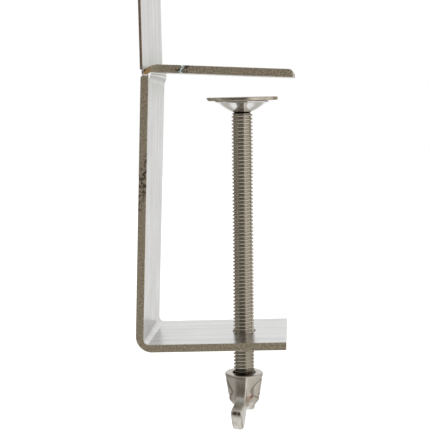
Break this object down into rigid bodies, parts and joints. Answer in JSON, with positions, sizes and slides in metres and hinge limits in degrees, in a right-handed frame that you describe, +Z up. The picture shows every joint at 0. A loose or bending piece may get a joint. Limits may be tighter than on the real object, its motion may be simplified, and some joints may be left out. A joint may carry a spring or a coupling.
{
  "type": "headphone hook",
  "caption": "Strip-steel hook for headphones on a screw clamp that grips a desk edge, with a swivel pad and a wing nut.",
  "frame": {"origin": "on the underside of the upper jaw, where the axis of the clamp screw meets it", "axes": "+Z up along the clamp screw, +X from the clamp's back towards the open ends of its arms, Y across the strips"},
  "size_m": [0.0881, 0.0315, 0.1525],
  "materials": {
    "strip_steel": "brushed lengthwise, raw brown-grey cut edges",
    "weld_steel": "weld bead with straw-coloured heat tint",
    "screw_steel": "bright rolled thread with grey grime in the grooves",
    "pad_steel": "polished, worn rim",
    "cast_steel": "cast and tumbled, a few small rust spots"
  },
  "bodies": {
    "frame": {"back_bracket": "strip_steel", "jaw_arm": "strip_steel", "hook_strip": "strip_steel", "inner_weld": "weld_steel", "outer_weld": "weld_steel"},
    "swivel": {"retaining_washer": "screw_steel"},
    "screw": {"clamp_screw": "screw_steel", "wing_nut": "cast_steel"},
    "pad": {"pad_cup": "pad_steel", "pad_disc": "pad_steel"}
  },
  "joints": [
    {"name": "screw_travel", "type": "slide", "parent": "frame", "child": "swivel", "axis": [0, 0, 1], "range_m": [-0.0601, 0.0041]},
    {"name": "screw_turn", "type": "hinge", "parent": "swivel", "child": "screw", "pos_m": [0, 0, -0.05], "axis": [0, 0, 1], "range_deg": [-21600, 1440]},
    {"name": "pad_tilt", "type": "hinge", "parent": "swivel", "child": "pad", "pos_m": [0, 0, -0.0095], "axis": [0, 1, 0], "range_deg": [-4, 4]}
  ],
  "couplings": [
    {"joint": "screw_travel", "follows": "screw_turn", "m_per_rad": 0.00015915}
  ]
}
